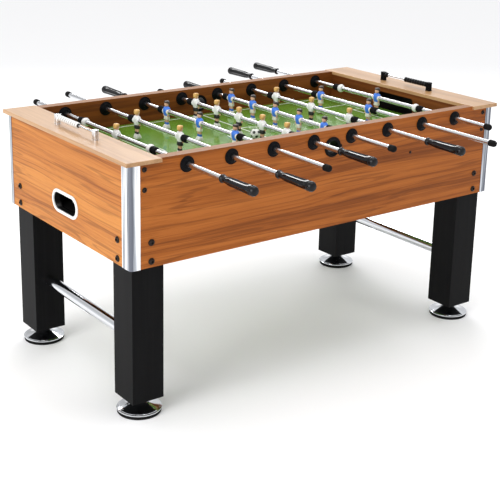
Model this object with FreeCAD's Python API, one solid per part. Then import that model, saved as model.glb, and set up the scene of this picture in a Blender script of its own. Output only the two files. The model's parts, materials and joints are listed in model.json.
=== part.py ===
import FreeCAD, Part
import math
import os
from FreeCAD import Vector

# Foosball table. Millimetres, +Z up, +X along the table, -Y the near long side.
# The origin is on the floor, midway between the four feet.

# Overall sizes
TABLE_LENGTH = 1524.0      # over the two top boards
TABLE_WIDTH = 808.0        # over the two top boards
TABLE_HEIGHT = 816.0       # floor to the face of the top boards
CABINET_DEPTH = 326.0      # bottom edge of the cabinet below the top
END_OVERHANG = 16.0        # top board past the end panel
SIDE_OVERHANG = 8.0        # top board past the side wall

# Panels
SIDE_WALL = 36.0
END_PANEL = 18.0
GOAL_WALL = 18.0
BOARD_WIDTH = 118.0        # along the table
BOARD_THICK = 12.0
BOARD_EDGE = 2.0           # rounding of the top boards' upper edges
RAIL_DROP = 1.0            # side wall's top edge below the top boards
FIELD_THICK = 10.0
FIELD_BELOW_ROD = 68.0     # playing surface below the rods' axes
PANEL_FIT = 0.2            # play round a piece let into a hole

# Inner frame: battens and bearers under the field, cleats in the corners
BATTEN_WIDE, BATTEN_TALL = 20.0, 30.0
BEARER_WIDE, BEARER_TALL = 30.0, 40.0
BEARER_SPACING = 440.0
CLEAT_LONG, CLEAT_WIDE = 44.0, 30.0
CLEAT_GAP = 6.0            # cleat above the leg's tenon

# Goals, ball chutes and ball returns
GOAL_WIDTH = 204.0
GOAL_HEIGHT = 70.0
GOAL_CORNER = 12.0
CHUTE_WIDTH = 224.0
CHUTE_WALL = 3.0
CHUTE_FLOOR = 552.0        # underside of the chute above the floor
CHUTE_TOP_GAP = 6.0        # chute's rim below the field board
CHUTE_GAP = 2.0            # chute behind the goal wall's line
RETURN_WIDTH, RETURN_HEIGHT = 148.0, 56.0
RETURN_RIM = 10.0          # width of the rim round the return's mouth
RETURN_PROUD = 4.0
RETURN_SKIN = 2.5
RETURN_CENTRE = 590.0      # height of the return's centre above the floor

# Corner guards, bent from sheet
GUARD_SHEET = 1.5
GUARD_RADIUS = 10.0
GUARD_SIDE_FLANGE = 32.0
GUARD_END_FLANGE_NEAR = 46.0
GUARD_END_FLANGE_FAR = 24.0

# Legs, cross bars and levelling feet
LEG_SIZE = 108.0
LEG_INSET_END, LEG_INSET_SIDE = 15.0, 20.0
LEG_CLEARANCE = 52.0       # leg's underside above the floor
TENON_TALL = 110.0         # leg's upper end inside the cabinet
BAR_RADIUS = 19.0
BAR_SHEET = 1.5
BAR_HEIGHT = 233.0
FOOT_RADIUS = 70.0
FOOT_PAD = 11.0            # rubber ring's height
FOOT_RIM = 3.0
FOOT_DOME = 20.0           # height of the dished disc above its rim
HUB_RADIUS = 16.0
STEM_RADIUS = 8.0
STEM_LONG = 45.0           # thread inside the leg
FOOT_TRAVEL = 15.0

# Rods and what is on them
ROD_COUNT = 8
ROD_RADIUS = 7.95
ROD_SHEET = 2.0            # tube wall
ROD_DROP = 32.0            # rod axis below the table's top
GOALIE_GAP = 89.0          # goal wall to the first rod
RUNNING_FIT = 0.05         # radial, rod in its bearings and bumpers
GLUE_FIT = 0.02            # radial, pieces fixed on the rod
FACE_GAP = 0.3             # between loose pieces that meet face to face
OUTER_MAN_MARGIN = 96.0    # side wall to the outer man of a five-man rod
WING_MARGIN = 156.0        # side wall to the outer man of a three-man rod, and to a goalie's collar

MAN_FOOT_REACH = 62.0      # rod axis to the sole
MAN_HEAD_CENTRE = 27.0
MAN_HEAD_RADIUS = 10.5
MAN_SHOULDER = 34.0
MAN_SKIN = 2.6             # plastic round the rod
MAN_TOE, MAN_HEEL = 13.0, 10.0
COLLAR_RADIUS, COLLAR_THICK = 15.0, 18.0
BUMPER_RADIUS, BUMPER_LONG = 12.5, 28.0
BUMPER_RIBS = 4
BUMPER_GROOVE = 1.6

BEARING_FLANGE = 24.5      # radius
BEARING_EDGE = 3.0
BEARING_HUB = 14.0         # radius
BEARING_PROUD = 8.0
BEARING_SLEEVE = 12.0      # outer radius inside the wall

HANDLE_LONG = 156.0
HANDLE_COLLAR, HANDLE_NECK, HANDLE_BELLY, HANDLE_END = 12.8, 9.6, 13.6, 15.2
HANDLE_SOCKET = 120.0      # depth of the rod in the handle
CAP_LONG, CAP_RADIUS, CAP_SOCKET = 26.0, 10.8, 20.0
STOP_GAP = 0.5             # left between a bumper and its bearing at full travel

# Ball serve cups
CUP_FLANGE, CUP_BORE, CUP_SLEEVE = 33.0, 21.5, 24.0
CUP_PROUD = 6.0
CUP_LIP = 2.5
CUP_DROP = 58.0            # cup's centre below the table's top
CUP_EAR = 6.0

# Score counters
POST_SPACING = 244.0
POST_LONG, POST_DEEP, POST_TALL = 20.0, 16.0, 32.0
COUNTER_ROD = 3.0
COUNTER_HEIGHT = 22.0      # counter rod above the board
BEAD_RADIUS, BEAD_THICK = 9.5, 12.8
BEAD_GAP = 0.2
BEAD_COUNT = 10
LOST_BEADS = 1             # beads slid to the far post on the right-hand counter

# Fasteners: dome head radius, head height, shank radius
PANEL_BOLT = (8.0, 5.0, 3.0)
LEG_BOLT = (10.5, 6.0, 4.0)
FIELD_SCREW = (5.0, 2.5, 2.0)
SHANK_FIT = 0.2
PANEL_BOLT_HEIGHTS = (788.0, 728.0)
LEG_BOLT_HEIGHTS = (567.0, 509.0)
PANEL_BOLT_FROM_END = 47.0
PANEL_BOLT_GRIP, LEG_BOLT_GRIP, FIELD_SCREW_GRIP = 20.0, 34.0, 12.0
FIELD_SCREW_X = 350.0

BALL_RADIUS = 17.5
BALL_GAP = 3.0             # ball to the toes beside it
BALL_ALONG = -47.0         # where the ball lies between two men

# One row per rod, from the left end: men, side its handle is on, where the men's middle stands,
# bare rod outside the wall on the handle's side, bare rod outside the wall on the cap's side.
RODS = (
    (1, -1, 9.0, 176.0, 166.0),
    (2, -1, 16.0, 226.0, 228.0),
    (3, 1, 8.0, 101.0, 241.0),
    (5, -1, 2.0, 128.0, 96.0),
    (5, 1, 4.0, 24.0, 178.0),
    (3, -1, -2.0, 182.0, 139.0),
    (2, 1, 2.0, 171.0, 302.0),
    (1, 1, -3.0, 206.0, 141.0),
)

# Worked out from the sizes above
outer_x = TABLE_LENGTH / 2 - END_OVERHANG
outer_y = TABLE_WIDTH / 2 - SIDE_OVERHANG
inner_y = outer_y - SIDE_WALL
panel_x = outer_x - END_PANEL
goal_x = TABLE_LENGTH / 2 - BOARD_WIDTH
cabinet_z = TABLE_HEIGHT - CABINET_DEPTH
board_z = TABLE_HEIGHT - BOARD_THICK
rod_z = TABLE_HEIGHT - ROD_DROP
field_z = rod_z - FIELD_BELOW_ROD
rod_pitch = 2 * (goal_x - GOALIE_GAP) / (ROD_COUNT - 1)
leg_x = outer_x - LEG_INSET_END - LEG_SIZE / 2
leg_y = outer_y - LEG_INSET_SIDE - LEG_SIZE / 2
line_spacing = (inner_y - OUTER_MAN_MARGIN) / 2
wing_spacing = inner_y - WING_MARGIN
post_y = POST_SPACING / 2
board_x = TABLE_LENGTH / 2 - BOARD_WIDTH / 2
counter_z = TABLE_HEIGHT + COUNTER_HEIGHT
stop_y = inner_y - BEARING_PROUD
man_barrel = ROD_RADIUS + MAN_SKIN

ALONG_X, ALONG_Y, ALONG_Z = Vector(1, 0, 0), Vector(0, 1, 0), Vector(0, 0, 1)


def rod_x(index):
    return -(ROD_COUNT - 1) * rod_pitch / 2 + index * rod_pitch


def box(x, y, z):
    """A block between two corners, each given as a (low, high) pair."""
    return Part.makeBox(x[1] - x[0], y[1] - y[0], z[1] - z[0], Vector(x[0], y[0], z[0]))


def mirrored(shape, normal):
    return shape.mirror(Vector(0, 0, 0), normal)


def moved(shape, x=0.0, y=0.0, z=0.0):
    copy = shape.copy()
    copy.translate(Vector(x, y, z))
    return copy


def turned(points, axis):
    """A solid of revolution about an axis through the origin, from (distance, height) points."""
    across = ALONG_Z if axis == ALONG_Y else ALONG_X
    corners = [across * r + axis * h for r, h in points]
    face = Part.Face(Part.makePolygon(corners + corners[:1]))
    return face.revolve(Vector(0, 0, 0), axis, 360)


def curve(start, end, count, bulge):
    """Points from start to end along a half-sine swelling of the given height."""
    (r0, h0), (r1, h1) = start, end
    steps = [i / count for i in range(count + 1)]
    return [(r0 + (r1 - r0) * s + bulge * math.sin(math.pi * s), h0 + (h1 - h0) * s) for s in steps]


def slot_block(width, height, depth):
    """A bar of stadium section, lying along X from the origin, centred on Y and Z."""
    flat = width / 2 - height / 2
    bar = box((0, depth), (-flat, flat), (-height / 2, height / 2))
    for side in (-1, 1):
        bar = bar.fuse(Part.makeCylinder(height / 2, depth, Vector(0, side * flat, 0), ALONG_X))
    return bar.removeSplitter()


def save(name, shapes):
    shape = shapes[0] if len(shapes) == 1 else Part.makeCompound(shapes)
    shape.exportStep(os.path.join("parts", name + ".step"))


def bolt(kind, grip):
    """A dome-headed bolt on the origin: head towards -Y, shank towards +Y."""
    head_radius, head_tall, shank_radius = kind
    sphere = (head_radius ** 2 + head_tall ** 2) / (2 * head_tall)
    dome = Part.makeSphere(sphere, Vector(0, sphere - head_tall, 0))
    half = box((-sphere, sphere), (-head_tall - 1, 0), (-sphere, sphere))
    shank = Part.makeCylinder(shank_radius, grip, Vector(0, 0, 0), ALONG_Y)
    return dome.common(half).fuse(shank).removeSplitter()


def bolt_places():
    """Each bolt: its kind, shank length, head's place, and turn about Z from facing -Y."""
    places = []
    panel_bolt_x = outer_x - PANEL_BOLT_FROM_END
    for sx in (-1, 1):
        for sy, side_turn in ((-1, 0), (1, 180)):
            for z in PANEL_BOLT_HEIGHTS:
                at = Vector(sx * panel_bolt_x, sy * outer_y, z)
                places.append((PANEL_BOLT, SIDE_WALL + PANEL_BOLT_GRIP, at, side_turn))
            for z in LEG_BOLT_HEIGHTS:
                at = Vector(sx * leg_x, sy * outer_y, z)
                places.append((LEG_BOLT, SIDE_WALL + LEG_BOLT_GRIP, at, side_turn))
                at = Vector(sx * outer_x, sy * leg_y, z)
                places.append((LEG_BOLT, END_PANEL + LEG_BOLT_GRIP, at, sx * 90))
            at = Vector(sx * FIELD_SCREW_X, sy * outer_y, field_z - FIELD_THICK - BATTEN_TALL / 2)
            places.append((FIELD_SCREW, SIDE_WALL + FIELD_SCREW_GRIP, at, side_turn))
    return places


def bolts():
    made = []
    for kind, grip, at, turn in bolt_places():
        shape = bolt(kind, grip)
        shape.rotate(Vector(0, 0, 0), ALONG_Z, turn)
        shape.translate(at)
        made.append(shape)
    return made


def bolt_holes():
    """Cutters for the shanks, a little larger than the bolts."""
    cutters = []
    for kind, grip, at, turn in bolt_places():
        cutter = Part.makeCylinder(kind[2] + SHANK_FIT, grip + 1, Vector(0, 0, 0), ALONG_Y)
        cutter.rotate(Vector(0, 0, 0), ALONG_Z, turn)
        cutter.translate(at)
        cutters.append(cutter)
    return cutters


def drilled(shape):
    """The shape with the holes of the bolts that reach it."""
    near = [c for c in bolt_holes() if c.BoundBox.intersect(shape.BoundBox)]
    return shape.cut(near) if near else shape


def side_wall(side):
    """A long wall, let down at its ends for the top boards, bored for rods and the serve cup."""
    inside, outside = sorted((side * inner_y, side * outer_y))
    wall = box((-panel_x, panel_x), (inside, outside), (cabinet_z, TABLE_HEIGHT - RAIL_DROP))
    for sx in (-1, 1):
        ends = sorted((sx * goal_x, sx * (panel_x + 1)))
        wall = wall.cut(box(ends, (inside, outside), (board_z, TABLE_HEIGHT)))
    bores = [
        Part.makeCylinder(BEARING_SLEEVE + PANEL_FIT, SIDE_WALL, Vector(rod_x(i), inside, rod_z), ALONG_Y)
        for i in range(ROD_COUNT)
    ]
    cup_at = Vector(0, inside, TABLE_HEIGHT - CUP_DROP)
    bores.append(Part.makeCylinder(CUP_SLEEVE + PANEL_FIT, SIDE_WALL, cup_at, ALONG_Y))
    return drilled(wall.cut(bores))


def end_panel(side):
    """A short outer wall with its upright edges rounded for the guards and the return's mouth."""
    panel = box((panel_x, outer_x), (-outer_y, outer_y), (cabinet_z, board_z))
    edges = [
        e for e in panel.Edges
        if abs(e.BoundBox.XMax - e.BoundBox.XMin) < 1e-6
        and abs(e.BoundBox.YMax - e.BoundBox.YMin) < 1e-6
        and e.BoundBox.XMin > outer_x - 1e-6
    ]
    panel = panel.makeFillet(GUARD_RADIUS - GUARD_SHEET, edges)
    mouth_wide = RETURN_WIDTH + 2 * (RETURN_SKIN + PANEL_FIT)
    mouth_tall = RETURN_HEIGHT + 2 * (RETURN_SKIN + PANEL_FIT)
    mouth = moved(slot_block(mouth_wide, mouth_tall, END_PANEL), x=panel_x, z=RETURN_CENTRE)
    panel = panel.cut(mouth)
    if side < 0:
        panel = mirrored(panel, ALONG_X)
    return drilled(panel)


def goal_wall(side):
    """An inner wall on the field's end with a round-cornered goal mouth."""
    wall = box((goal_x, goal_x + GOAL_WALL), (-inner_y, inner_y), (field_z, board_z))
    half = GOAL_WIDTH / 2
    mouth = box((goal_x, goal_x + GOAL_WALL), (-half, half), (field_z, field_z + GOAL_HEIGHT))
    tops = [e for e in mouth.Edges if e.BoundBox.ZMin > field_z + 1 and e.BoundBox.XLength > 1]
    wall = wall.cut(mouth.makeFillet(GOAL_CORNER, tops))
    return wall if side > 0 else mirrored(wall, ALONG_X)


def top_board(side):
    half = TABLE_WIDTH / 2
    board = box((goal_x, TABLE_LENGTH / 2), (-half, half), (board_z, TABLE_HEIGHT))
    tops = [e for e in board.Edges if e.BoundBox.ZMin > TABLE_HEIGHT - 0.5]
    board = board.makeFillet(BOARD_EDGE, tops)
    return board if side > 0 else mirrored(board, ALONG_X)


def playfield():
    end = goal_x + GOAL_WALL
    return box((-end, end), (-inner_y, inner_y), (field_z - FIELD_THICK, field_z))


def inner_frame():
    """Battens along the walls, bearers across under the field, and cleats in the top corners."""
    pieces = []
    under = field_z - FIELD_THICK
    end = goal_x + GOAL_WALL
    for sy in (-1, 1):
        across = sorted((sy * (inner_y - BATTEN_WIDE), sy * inner_y))
        pieces.append(box((-end, end), across, (under - BATTEN_TALL, under)))
        for sx in (-1, 1):
            along = sorted((sx * (panel_x - CLEAT_LONG), sx * panel_x))
            deep = sorted((sy * (inner_y - CLEAT_WIDE), sy * inner_y))
            tall = (cabinet_z + TENON_TALL + CLEAT_GAP, board_z)
            pieces.append(box(along, deep, tall))
    half = inner_y - BATTEN_WIDE
    for side in (-1, 1):
        middle = side * BEARER_SPACING / 2
        along = (middle - BEARER_WIDE / 2, middle + BEARER_WIDE / 2)
        pieces.append(box(along, (-half, half), (under - BEARER_TALL, under)))
    return [drilled(p) for p in pieces]


def corner_guard(sx, sy):
    """Bent sheet over an upright corner: one flange on the side wall, one on the end panel."""
    end_flange = GUARD_END_FLANGE_NEAR if sy < 0 else GUARD_END_FLANGE_FAR
    out_x, out_y = outer_x + GUARD_SHEET, outer_y + GUARD_SHEET
    tall = (cabinet_z, board_z)
    solid = box((outer_x - GUARD_SIDE_FLANGE, out_x), (outer_y - end_flange, out_y), tall)
    inside = box((0, outer_x), (0, outer_y), tall)

    def upright(shape, x, y):
        return [e for e in shape.Edges if abs(e.BoundBox.XMin - x) + abs(e.BoundBox.YMin - y) < 1e-6
                and e.BoundBox.ZLength > 1 and e.BoundBox.XLength + e.BoundBox.YLength < 1e-6]

    solid = solid.makeFillet(GUARD_RADIUS, upright(solid, out_x, out_y))
    inside = inside.makeFillet(GUARD_RADIUS - GUARD_SHEET, upright(inside, outer_x, outer_y))
    guard = solid.cut(inside)
    if sx < 0:
        guard = mirrored(guard, ALONG_X)
    if sy < 0:
        guard = mirrored(guard, ALONG_Y)
    return guard


def leg(sx, sy):
    """A square post whose tenon stands in the cabinet's corner, bored below for the foot's stem."""
    low_x, high_x = leg_x - LEG_SIZE / 2, leg_x + LEG_SIZE / 2
    low_y, high_y = leg_y - LEG_SIZE / 2, leg_y + LEG_SIZE / 2
    post = box((low_x, high_x), (low_y, high_y), (LEG_CLEARANCE, cabinet_z))
    tenon = box(
        (low_x, min(high_x, panel_x - PANEL_FIT)),
        (low_y, min(high_y, inner_y - PANEL_FIT)),
        (cabinet_z, cabinet_z + TENON_TALL),
    )
    post = post.fuse(tenon).removeSplitter()
    bore = Part.makeCylinder(
        STEM_RADIUS + RUNNING_FIT, STEM_LONG + FOOT_TRAVEL, Vector(leg_x, leg_y, LEG_CLEARANCE)
    )
    post = post.cut(bore)
    if sx < 0:
        post = mirrored(post, ALONG_X)
    if sy < 0:
        post = mirrored(post, ALONG_Y)
    return drilled(post)


def cross_bar(side):
    half = leg_y - LEG_SIZE / 2
    start = Vector(side * leg_x, -half, BAR_HEIGHT)
    bar = Part.makeCylinder(BAR_RADIUS, 2 * half, start, ALONG_Y)
    return bar.cut(Part.makeCylinder(BAR_RADIUS - BAR_SHEET, 2 * half, start, ALONG_Y))


def foot(sx, sy):
    """Rubber ring, dished disc with its hub, and the threaded stem that screws into the leg."""
    edge = FOOT_RADIUS
    pad = turned(
        [(0, 0), (edge - 4, 0), (edge - 1, FOOT_PAD / 2), (edge - 2, FOOT_PAD), (0, FOOT_PAD)], ALONG_Z
    )
    rim = FOOT_PAD + FOOT_RIM
    crown = rim + FOOT_DOME
    slope = curve((edge, rim), (HUB_RADIUS + 6, crown), 5, -3.0)
    disc = turned(
        [(0, FOOT_PAD), (edge, FOOT_PAD)] + slope
        + [(HUB_RADIUS, crown + 2), (HUB_RADIUS, LEG_CLEARANCE), (0, LEG_CLEARANCE)],
        ALONG_Z,
    )
    stem = Part.makeCylinder(STEM_RADIUS, STEM_LONG, Vector(0, 0, LEG_CLEARANCE))
    return [moved(piece, sx * leg_x, sy * leg_y) for piece in (pad, disc, stem)]


def bearing(index, side):
    """Outer flange with the sleeve through the wall, and the flanged nut on the inside."""
    bore = ROD_RADIUS + RUNNING_FIT
    flange = [(bore, 0), (BEARING_FLANGE, 0), (BEARING_FLANGE, BEARING_EDGE),
              (BEARING_HUB + 2, BEARING_PROUD - 2), (BEARING_HUB, BEARING_PROUD), (bore, BEARING_PROUD)]
    sleeve = [(bore, -SIDE_WALL), (BEARING_SLEEVE, -SIDE_WALL), (BEARING_SLEEVE, 0)]
    outer = turned(sleeve + flange[1:], ALONG_Y)
    nut = turned([(r, -SIDE_WALL - h) for r, h in flange], ALONG_Y)
    pieces = []
    for shape in (outer, nut):
        shape = moved(shape, rod_x(index), outer_y, rod_z)
        pieces.append(shape if side > 0 else mirrored(shape, ALONG_Y))
    return pieces


def serve_cup(side):
    """Round dish on the outside, its sleeve through the wall, and the ring on the inside."""
    dish = turned(
        [(CUP_BORE, -SIDE_WALL), (CUP_SLEEVE, -SIDE_WALL), (CUP_SLEEVE, 0), (CUP_FLANGE, 0),
         (CUP_FLANGE, CUP_LIP), (CUP_FLANGE - CUP_LIP, CUP_PROUD), (CUP_FLANGE - 2 * CUP_LIP, CUP_PROUD),
         (CUP_BORE, CUP_LIP)],
        ALONG_Y,
    )
    ear = Part.makeCylinder(CUP_EAR, CUP_LIP, Vector(CUP_FLANGE, 0, 0), ALONG_Y)
    dish = dish.fuse(ear.cut(Part.makeCylinder(CUP_FLANGE, CUP_LIP, Vector(0, 0, 0), ALONG_Y)))
    ring = turned(
        [(CUP_BORE, -SIDE_WALL), (CUP_FLANGE - CUP_LIP, -SIDE_WALL),
         (CUP_FLANGE - CUP_LIP, -SIDE_WALL - CUP_LIP), (CUP_BORE, -SIDE_WALL - CUP_LIP)],
        ALONG_Y,
    )
    pieces = []
    for shape in (dish.removeSplitter(), ring):
        shape = moved(shape, 0, outer_y, TABLE_HEIGHT - CUP_DROP)
        pieces.append(shape if side > 0 else mirrored(shape, ALONG_Y))
    return pieces


def return_cup(side):
    """Oval rim on the end panel with its sleeve through the panel."""
    rim = slot_block(RETURN_WIDTH + 2 * RETURN_RIM, RETURN_HEIGHT + 2 * RETURN_RIM, RETURN_PROUD)
    edges = [e for e in rim.Edges if e.BoundBox.XMin > RETURN_PROUD - 1e-6]
    rim = moved(rim.makeFillet(RETURN_PROUD / 2, edges), x=END_PANEL)
    skin = 2 * RETURN_SKIN
    sleeve = slot_block(RETURN_WIDTH + skin, RETURN_HEIGHT + skin, END_PANEL)
    mouth = moved(slot_block(RETURN_WIDTH, RETURN_HEIGHT, END_PANEL + RETURN_PROUD + 2), x=-1)
    cup = moved(rim.fuse(sleeve).cut(mouth), x=panel_x, z=RETURN_CENTRE)
    return cup if side > 0 else mirrored(cup, ALONG_X)


def ball_chute(side):
    """Open-topped trough behind the goal, with a sloping floor down to the return's mouth."""
    back = goal_x + GOAL_WALL + CHUTE_GAP
    top = field_z - FIELD_THICK - CHUTE_TOP_GAP
    half = CHUTE_WIDTH / 2
    shell = box((back, panel_x), (-half, half), (CHUTE_FLOOR, top))
    inner = half - CHUTE_WALL
    slope_low = RETURN_CENTRE - RETURN_HEIGHT / 2
    slope_high = slope_low + 3 * CHUTE_WALL
    profile = [
        Vector(back + CHUTE_WALL, -inner, slope_high),
        Vector(panel_x - CHUTE_WALL, -inner, slope_low),
        Vector(panel_x - CHUTE_WALL, -inner, top),
        Vector(back + CHUTE_WALL, -inner, top),
    ]
    hollow = Part.Face(Part.makePolygon(profile + profile[:1])).extrude(Vector(0, 2 * inner, 0))
    mouth = slot_block(RETURN_WIDTH, RETURN_HEIGHT, 3 * CHUTE_WALL)
    mouth = moved(mouth, x=panel_x - 2 * CHUTE_WALL, z=RETURN_CENTRE)
    chute = shell.cut(hollow).cut(mouth)
    return chute if side > 0 else mirrored(chute, ALONG_X)


def man():
    """A player moulded round the rod, facing +X, with the rod's axis on Y through the origin."""
    waist, hip, knee, ankle = -14.0, -26.0, -44.0, -MAN_FOOT_REACH
    chest = MAN_HEAD_CENTRE - MAN_HEAD_RADIUS
    depth = man_barrel
    torso = box((-depth, depth), (-13, 13), (waist, chest))
    torso = torso.makeFillet(5.0, [e for e in torso.Edges if e.BoundBox.ZLength > 1])
    arms = Part.makeCylinder(man_barrel, MAN_SHOULDER, Vector(0, -MAN_SHOULDER / 2, 0), ALONG_Y)
    neck = Part.makeCylinder(5.0, 8.0, Vector(0, 0, chest - 2))
    head = Part.makeSphere(MAN_HEAD_RADIUS, Vector(0, 0, MAN_HEAD_CENTRE))
    shorts = box((-9, 9), (-12, 12), (hip, waist + 1))
    legs = box((-6.5, 6.5), (-9, 9), (knee, hip + 1))
    sole = [(-MAN_HEEL, ankle), (MAN_TOE, ankle), (MAN_TOE, ankle + 8), (7.0, knee + 2), (-8.0, knee + 2)]
    side = [Vector(x, -11, z) for x, z in sole]
    boots = Part.Face(Part.makePolygon(side + side[:1])).extrude(Vector(0, 22, 0))
    body = torso.fuse([arms, neck, head, shorts, legs, boots]).removeSplitter()
    bore = ROD_RADIUS + GLUE_FIT
    return body.cut(Part.makeCylinder(bore, 2 * MAN_SHOULDER, Vector(0, -MAN_SHOULDER, 0), ALONG_Y))


def men_places(count):
    """Where the men stand either side of their middle, for a rod with this many."""
    spacing = {1: 0.0, 2: 2 * line_spacing, 3: wing_spacing, 5: line_spacing}[count]
    return [(i - (count - 1) / 2) * spacing for i in range(count)]


def bumper(length):
    """A ribbed rubber stop, loose on the rod, from the origin along +Y."""
    bore = ROD_RADIUS + RUNNING_FIT
    step = length / (2 * BUMPER_RIBS - 1)
    outline = [(bore, 0)]
    for i in range(2 * BUMPER_RIBS - 1):
        radius = BUMPER_RADIUS if i % 2 == 0 else BUMPER_RADIUS - BUMPER_GROOVE
        outline += [(radius, i * step), (radius, (i + 1) * step)]
    outline.append((bore, length))
    return turned(outline, ALONG_Y)


def collar():
    """A goalie rod's round stop collar, centred on the origin."""
    half = COLLAR_THICK / 2
    rounding = [
        (COLLAR_RADIUS - 5 + 5 * math.cos(a), half * math.sin(a)) for a in
        (math.radians(-90 + 15 * i) for i in range(13))
    ]
    bore = ROD_RADIUS + GLUE_FIT
    return turned([(bore, -half)] + rounding + [(bore, half)], ALONG_Y)


def handle():
    """A hand grip from the origin along +Y: flared collar, waist, swelling and rounded end."""
    full = HANDLE_LONG
    outline = [(ROD_RADIUS + GLUE_FIT, 0), (HANDLE_COLLAR - 1, 0), (HANDLE_COLLAR, 1.5),
               (HANDLE_COLLAR, 7.0), (HANDLE_NECK + 0.6, 12.0)]
    outline += curve((HANDLE_NECK, 16.0), (HANDLE_BELLY, 80.0), 6, 0.4)
    outline += curve((HANDLE_BELLY + 0.2, 90.0), (HANDLE_END, full - 12.0), 4, 0.3)
    outline += [(HANDLE_END - 0.6, full - 6), (HANDLE_END - 3.5, full - 1.5), (HANDLE_END - 6, full), (0, full)]
    outline += [(0, HANDLE_SOCKET), (ROD_RADIUS + GLUE_FIT, HANDLE_SOCKET)]
    return turned(outline, ALONG_Y)


def cap():
    """A rounded rubber end cap from the origin along +Y."""
    outline = [(ROD_RADIUS + GLUE_FIT, 0), (CAP_RADIUS - 0.6, 0), (CAP_RADIUS, 1.5),
               (CAP_RADIUS, CAP_LONG - 6), (CAP_RADIUS - 2, CAP_LONG - 2), (CAP_RADIUS - 5, CAP_LONG),
               (0, CAP_LONG), (0, CAP_SOCKET), (ROD_RADIUS + GLUE_FIT, CAP_SOCKET)]
    return turned(outline, ALONG_Y)


def rod_pieces(index):
    """The tube, men, grips, bumpers and collars of one rod, in their places."""
    men, side, middle, handle_gap, cap_gap = RODS[index]
    at_x = rod_x(index)
    places = men_places(men)
    facing = 1 if side < 0 else -1
    handle_y, cap_y = outer_y + handle_gap, outer_y + cap_gap

    def placed(shape, y, way=1):
        shape = shape if way > 0 else mirrored(shape, ALONG_Y)
        return moved(shape, at_x, y, rod_z)

    span = sorted((side * (handle_y + HANDLE_SOCKET), -side * (cap_y + CAP_SOCKET)))
    start = Vector(at_x, span[0], rod_z)
    tube = Part.makeCylinder(ROD_RADIUS, span[1] - span[0], start, ALONG_Y)
    tube = tube.cut(Part.makeCylinder(ROD_RADIUS - ROD_SHEET, span[1] - span[0], start, ALONG_Y))

    player = man() if facing > 0 else mirrored(man(), ALONG_X)
    outer_half = MAN_SHOULDER / 2
    outer_place = max(places)
    collars = []
    if men == 1:
        outer_place, outer_half = wing_spacing, COLLAR_THICK / 2
        collars = [placed(collar(), middle + way * wing_spacing) for way in (-1, 1)]
    reach = outer_place + outer_half + FACE_GAP
    bumpers = [placed(bumper(BUMPER_LONG), middle + way * reach, way) for way in (-1, 1)]
    grips = [placed(handle(), side * handle_y, side), placed(cap(), -side * cap_y, -side)]
    return tube, [placed(player, middle + y) for y in places], grips, bumpers, collars


def score_frame(side):
    """Two posts on the top board with the counter rod between them."""
    pieces = []
    for sy in (-1, 1):
        x = (side * board_x - POST_DEEP / 2, side * board_x + POST_DEEP / 2)
        y = (sy * post_y - POST_LONG / 2, sy * post_y + POST_LONG / 2)
        post = box(x, y, (TABLE_HEIGHT, TABLE_HEIGHT + POST_TALL))
        tops = [e for e in post.Edges if e.BoundBox.ZMin > TABLE_HEIGHT + 1]
        pieces.append(post.makeFillet(2.0, tops))
    half = post_y - POST_LONG / 2
    wire = Part.makeCylinder(COUNTER_ROD, 2 * half, Vector(side * board_x, -half, counter_z), ALONG_Y)
    return pieces + [wire]


def beads(side, count, first, way):
    """A row of score beads from y = first, running towards way."""
    edge, half = BEAD_RADIUS, BEAD_THICK / 2
    bore = COUNTER_ROD + RUNNING_FIT
    outline = [(bore, -half), (edge - 3, -half), (edge - 0.8, -half / 2), (edge, 0),
               (edge - 0.8, half / 2), (edge - 3, half), (bore, half)]
    bead = turned(outline, ALONG_Y)
    step = BEAD_THICK + BEAD_GAP
    return [moved(bead, side * board_x, first + way * (half + i * step), counter_z) for i in range(count)]


def ball():
    x = rod_x(3) + MAN_TOE + BALL_GAP + BALL_RADIUS
    return Part.makeSphere(BALL_RADIUS, Vector(x, BALL_ALONG, field_z + FACE_GAP + BALL_RADIUS))


def main():
    os.makedirs("parts", exist_ok=True)
    ends = ((-1, "left"), (1, "right"))
    sides = ((-1, "near"), (1, "far"))
    corners = [(sx, sy) for sx in (-1, 1) for sy in (-1, 1)]
    for sy, name in sides:
        save("side_wall_" + name, [side_wall(sy)])
    for sx, name in ends:
        save("end_panel_" + name, [end_panel(sx)])
        save("score_frame_" + name, score_frame(sx))
    save("goal_walls", [goal_wall(sx) for sx in (-1, 1)])
    save("top_boards", [top_board(sx) for sx in (-1, 1)])
    save("playfield", [playfield()])
    save("inner_frame", inner_frame())
    save("corner_guards", [corner_guard(sx, sy) for sx, sy in corners])
    save("legs", [leg(sx, sy) for sx, sy in corners])
    save("cross_bars", [cross_bar(sx) for sx in (-1, 1)])
    save("bearings", [p for i in range(ROD_COUNT) for sy in (-1, 1) for p in bearing(i, sy)])
    save("serve_cups", [p for sy in (-1, 1) for p in serve_cup(sy)])
    save("return_cups", [return_cup(sx) for sx in (-1, 1)])
    save("ball_chutes", [ball_chute(sx) for sx in (-1, 1)])
    save("bolts", bolts())
    for sx, end in ends:
        for sy, near in sides:
            save("foot_" + near + "_" + end, foot(sx, sy))
    for index in range(ROD_COUNT):
        tube, men, grips, bumpers, collars = rod_pieces(index)
        prefix = "rod_" + str(index + 1)
        save(prefix + "_tube", [tube])
        save(prefix + "_men", men)
        save(prefix + "_grips", grips)
        save(prefix + "_bumpers", bumpers)
        if collars:
            save(prefix + "_collars", collars)
    rest = post_y - POST_LONG / 2 - FACE_GAP
    save("beads_left", beads(-1, BEAD_COUNT, rest, -1))
    save("beads_right_far", beads(1, LOST_BEADS, rest, -1))
    save("beads_right_near", beads(1, BEAD_COUNT - LOST_BEADS, -rest, 1))
    save("ball", [ball()])


main()
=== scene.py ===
import json
import math
import bmesh
import bpy
from mathutils import Matrix, Vector


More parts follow.
